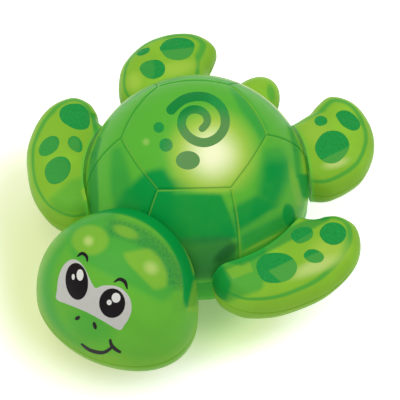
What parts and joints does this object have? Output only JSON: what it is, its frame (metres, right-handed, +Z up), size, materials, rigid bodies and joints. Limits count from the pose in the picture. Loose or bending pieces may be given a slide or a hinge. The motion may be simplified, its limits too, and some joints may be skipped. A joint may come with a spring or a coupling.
{
  "type": "light-up bath toy",
  "caption": "Floating turtle bath toy: glowing hollow shell on a dished belly, hollow head and flippers that turn on pegs, battery box, door and power button below.",
  "frame": {"origin": "middle of the toy's box in plan, on the plane that it rests on", "axes": "+Z up, head towards -Y, the turtle's left flippers towards +X"},
  "size_m": [0.1388, 0.1448, 0.07],
  "materials": {
    "shell_green": "clear, polished, tinted green",
    "belly_green": "clear, polished, deep green",
    "limb_green": "clear, polished, lime green",
    "peg_green": "satin",
    "door_green": "fine matt",
    "seal_rubber": "matt",
    "plated_steel": "bright plated",
    "white_plastic": "satin",
    "cell_jacket": "satin",
    "board_green": "lacquered",
    "chip_black": "matt",
    "led_lens": "clear",
    "diffuser_frost": "frosted",
    "button_rubber": "matt"
  },
  "bodies": {
    "shell": {"shell_dome": "shell_green", "belly_shell": "belly_green", "tail": "shell_green", "battery_box": "white_plastic", "battery_door": "door_green", "door_gasket": "seal_rubber", "door_screw_1": "plated_steel", "door_screw_2": "plated_steel", "box_screw_1": "plated_steel", "box_screw_2": "plated_steel", "cell_1": "cell_jacket", "cell_2": "cell_jacket", "contact_link": "plated_steel", "contact_positive": "plated_steel", "contact_negative": "plated_steel", "contact_spring_1": "plated_steel", "contact_spring_2": "plated_steel", "light_pod": "white_plastic", "pod_screw_1": "plated_steel", "pod_screw_2": "plated_steel", "circuit_board": "board_green", "control_chip": "chip_black", "led_1": "led_lens", "led_2": "led_lens", "led_3": "led_lens", "diffuser_cap": "diffuser_frost", "power_switch": "chip_black", "switch_board": "board_green"},
    "head": {"head_upper": "limb_green", "head_lower": "limb_green", "neck_peg": "peg_green", "neck_seal": "seal_rubber", "neck_washer": "plated_steel", "neck_screw": "plated_steel"},
    "front_left_flipper": {"front_left_flipper_upper": "limb_green", "front_left_flipper_lower": "limb_green", "front_left_peg": "peg_green", "front_left_seal": "seal_rubber"},
    "front_right_flipper": {"front_right_flipper_upper": "limb_green", "front_right_flipper_lower": "limb_green", "front_right_peg": "peg_green", "front_right_seal": "seal_rubber"},
    "hind_left_flipper": {"hind_left_flipper_upper": "limb_green", "hind_left_flipper_lower": "limb_green", "hind_left_peg": "peg_green", "hind_left_seal": "seal_rubber"},
    "hind_right_flipper": {"hind_right_flipper_upper": "limb_green", "hind_right_flipper_lower": "limb_green", "hind_right_peg": "peg_green", "hind_right_seal": "seal_rubber"},
    "button": {"power_button": "button_rubber"}
  },
  "joints": [
    {"name": "head_turn", "type": "hinge", "parent": "shell", "child": "head", "pos_m": [0, 0.01018, 0.027], "axis": [0, -0.9781, 0.2079], "range_deg": [-20, 20]},
    {"name": "front_left_paddle", "type": "hinge", "parent": "shell", "child": "front_left_flipper", "pos_m": [0, 0.01018, 0.027], "axis": [0.9063, -0.4226, 0], "range_deg": [-15, 15]},
    {"name": "front_right_paddle", "type": "hinge", "parent": "shell", "child": "front_right_flipper", "pos_m": [0, 0.01018, 0.027], "axis": [-0.9063, -0.4226, 0], "range_deg": [-15, 15]},
    {"name": "hind_left_paddle", "type": "hinge", "parent": "shell", "child": "hind_left_flipper", "pos_m": [0, 0.01018, 0.027], "axis": [0.7314, 0.682, 0], "range_deg": [-15, 15]},
    {"name": "hind_right_paddle", "type": "hinge", "parent": "shell", "child": "hind_right_flipper", "pos_m": [0, 0.01018, 0.027], "axis": [-0.7314, 0.682, 0], "range_deg": [-15, 15]},
    {"name": "power_press", "type": "slide", "parent": "shell", "child": "button", "axis": [0, 0, 1], "range_m": [0, 0.0012], "stiffness_N_per_m": 300}
  ]
}
